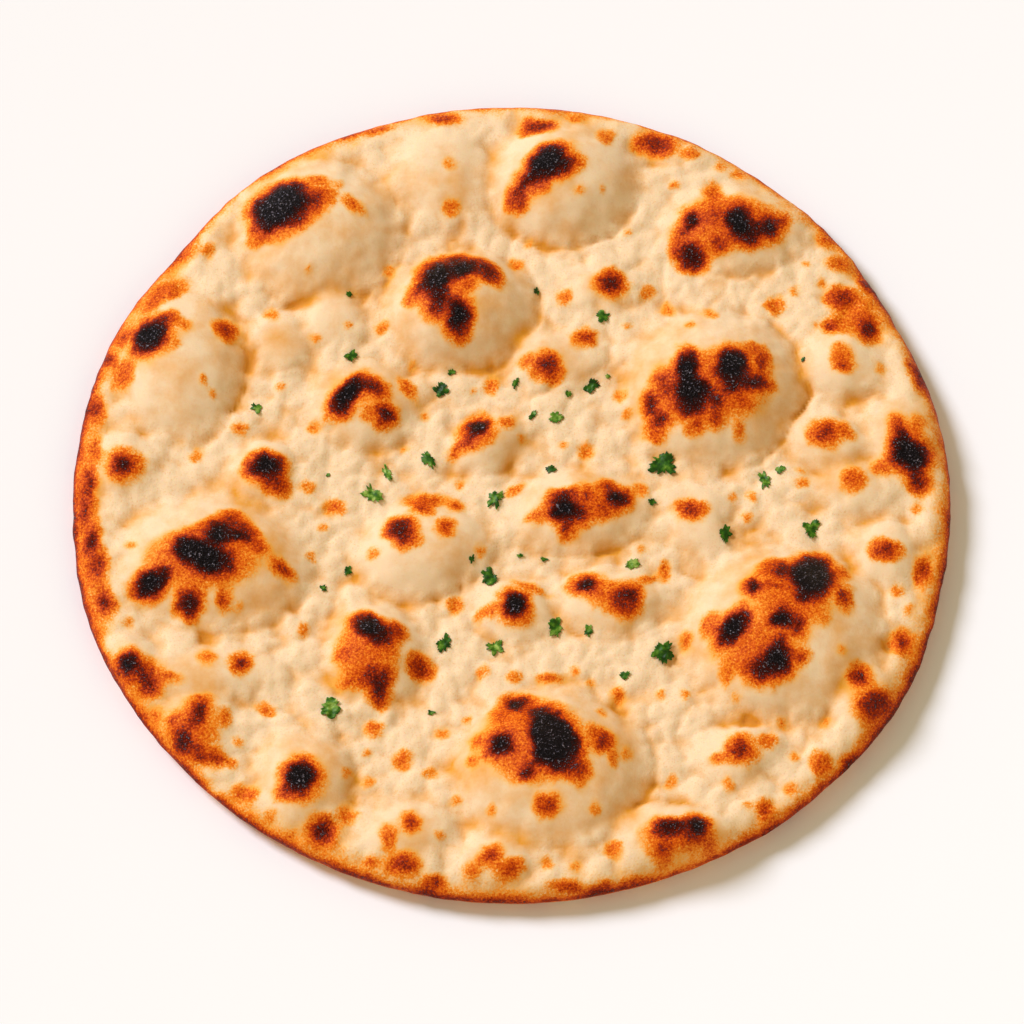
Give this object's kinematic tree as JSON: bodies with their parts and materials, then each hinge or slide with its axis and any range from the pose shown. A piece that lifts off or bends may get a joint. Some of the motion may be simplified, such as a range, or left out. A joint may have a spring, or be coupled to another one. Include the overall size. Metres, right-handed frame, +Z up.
{
  "type": "naan bread",
  "caption": "Round blistered flatbread with scorched bubble tops, a browned rounded rim, a flat underside and chopped herb flakes lying on its crust.",
  "frame": {"origin": "middle of the flat underside, which is the bottom centre of the bread", "axes": "+Z up through the bread's thickness, out of the blistered crust; +X to the right and +Y to the back as it lies in front of a diner"},
  "size_m": [0.2201, 0.218, 0.018],
  "materials": {
    "baked_dough": "matte",
    "chopped_herb": "satin"
  },
  "bodies": {
    "root": {"bread": "baked_dough", "herb_flake_01": "chopped_herb", "herb_flake_02": "chopped_herb", "herb_flake_03": "chopped_herb", "herb_flake_04": "chopped_herb", "herb_flake_05": "chopped_herb", "herb_flake_06": "chopped_herb", "herb_flake_07": "chopped_herb", "herb_flake_08": "chopped_herb", "herb_flake_09": "chopped_herb", "herb_flake_10": "chopped_herb", "herb_flake_11": "chopped_herb", "herb_flake_12": "chopped_herb", "herb_flake_13": "chopped_herb", "herb_flake_14": "chopped_herb", "herb_flake_15": "chopped_herb", "herb_flake_16": "chopped_herb", "herb_flake_17": "chopped_herb", "herb_flake_18": "chopped_herb", "herb_flake_19": "chopped_herb", "herb_flake_20": "chopped_herb", "herb_flake_21": "chopped_herb", "herb_flake_22": "chopped_herb", "herb_flake_23": "chopped_herb", "herb_flake_24": "chopped_herb", "herb_flake_25": "chopped_herb", "herb_flake_26": "chopped_herb", "herb_flake_27": "chopped_herb", "herb_flake_28": "chopped_herb", "herb_flake_29": "chopped_herb", "herb_flake_30": "chopped_herb", "herb_flake_31": "chopped_herb", "herb_flake_32": "chopped_herb", "herb_flake_33": "chopped_herb", "herb_flake_34": "chopped_herb", "herb_flake_35": "chopped_herb", "herb_flake_36": "chopped_herb", "herb_flake_37": "chopped_herb", "herb_flake_38": "chopped_herb", "herb_flake_39": "chopped_herb", "herb_flake_40": "chopped_herb", "herb_flake_41": "chopped_herb"}
  },
  "joints": []
}
